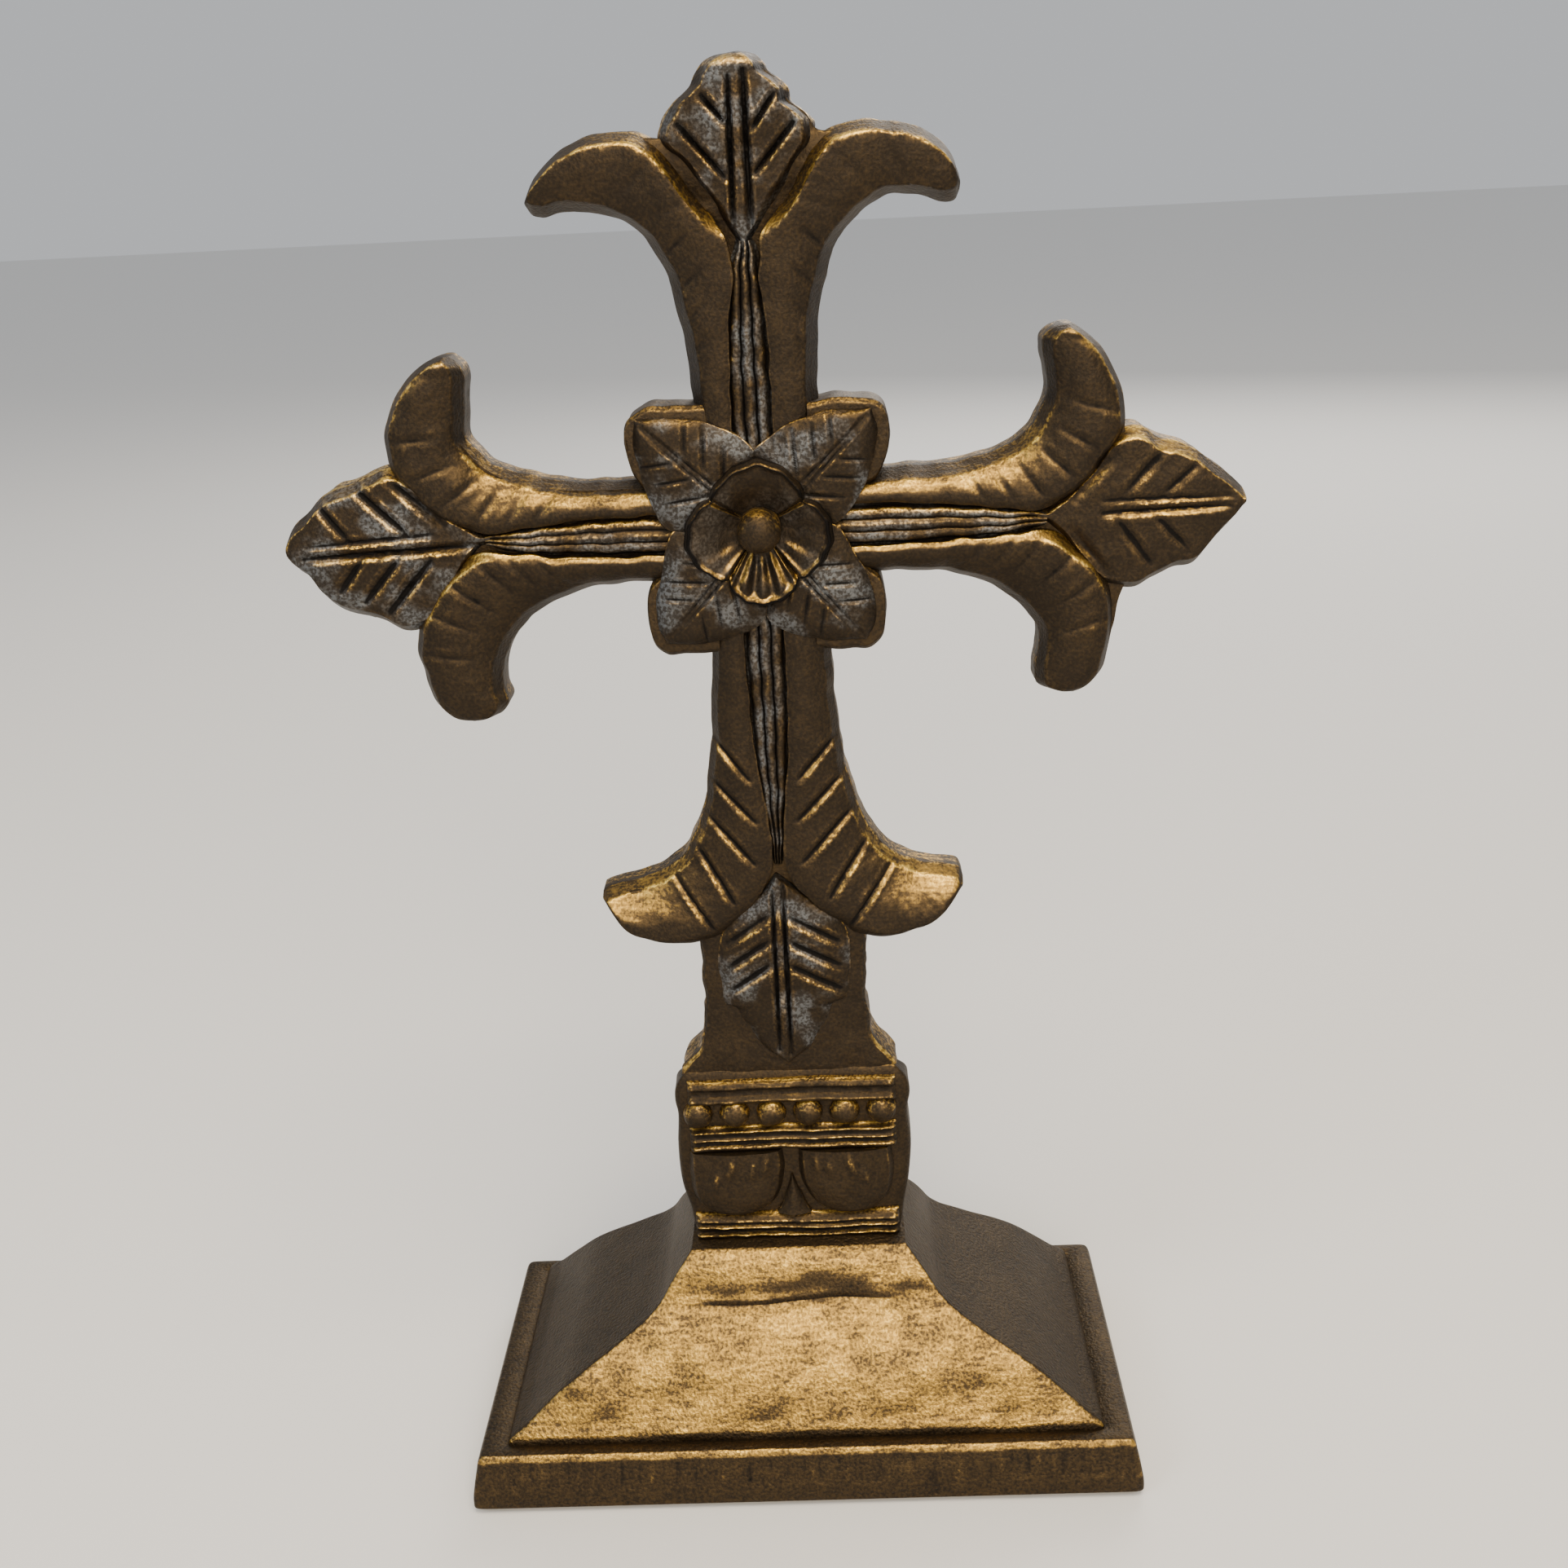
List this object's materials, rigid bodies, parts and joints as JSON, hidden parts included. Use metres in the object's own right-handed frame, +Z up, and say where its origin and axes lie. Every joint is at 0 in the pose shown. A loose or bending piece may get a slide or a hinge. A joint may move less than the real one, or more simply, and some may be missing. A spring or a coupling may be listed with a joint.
{
  "type": "altar cross",
  "caption": "Free-standing altar cross: carved and gilded wooden cross with curled, leaf-tipped arms, a flower at the crossing, a beaded collar, and a hollow-sided pyramid on a plinth.",
  "frame": {"origin": "middle of the underside of the cork pad that the cross stands on", "axes": "+Z up the cross, +X to the viewer's right along the arms, -Y out of the carved front"},
  "size_m": [0.205, 0.084, 0.32],
  "materials": {
    "gilt_board": "antique gold paint rubbed over dark bole on sawn wood, brown in the hollows and on the edges",
    "gilt_carving": "antique gold leaf and paint on carved wood, bright on the high parts, dark brown glaze in the cuts",
    "gilt_collar": "antique gold paint with dark glaze, reddish bole showing at the worn end bead",
    "gilt_base": "streaky brushed gold on the front slope, dull grey-brown on the sides",
    "bare_wood": "bare hardwood dowel",
    "cork": "pressed cork sheet",
    "steel": "plain zinc-plated fastener",
    "brass": "plain turned brass"
  },
  "bodies": {
    "root": {"base_plinth": "gilt_base", "base_pyramid": "gilt_base", "base_screws": "steel", "bolt_washer": "steel", "collar_beads": "gilt_collar", "collar_block": "gilt_collar", "collar_bud": "gilt_collar", "collar_foot_moulding": "gilt_collar", "collar_middle_moulding": "gilt_collar", "collar_petal_left": "gilt_collar", "collar_petal_right": "gilt_collar", "collar_top_moulding": "gilt_collar", "cork_pad": "cork", "corner_leaf_bottom_left": "gilt_carving", "corner_leaf_bottom_right": "gilt_carving", "corner_leaf_top_left": "gilt_carving", "corner_leaf_top_right": "gilt_carving", "crossbar_board": "gilt_board", "hanging_leaf": "gilt_carving", "lap_dowels": "bare_wood", "left_curl_lower": "gilt_carving", "left_curl_upper": "gilt_carving", "left_leaf": "gilt_carving", "left_reeds": "gilt_carving", "lower_curl_left": "gilt_carving", "lower_curl_right": "gilt_carving", "lower_reeds": "gilt_carving", "right_curl_lower": "gilt_carving", "right_curl_upper": "gilt_carving", "right_leaf": "gilt_carving", "right_reeds": "gilt_carving", "rosette_boss": "gilt_carving", "rosette_flower": "gilt_carving", "stem_facing": "gilt_carving", "threaded_insert": "brass", "tie_bolt": "steel", "top_curl_left": "gilt_carving", "top_curl_right": "gilt_carving", "top_leaf": "gilt_carving", "top_reeds": "gilt_carving", "upright_board": "gilt_board"}
  },
  "joints": []
}
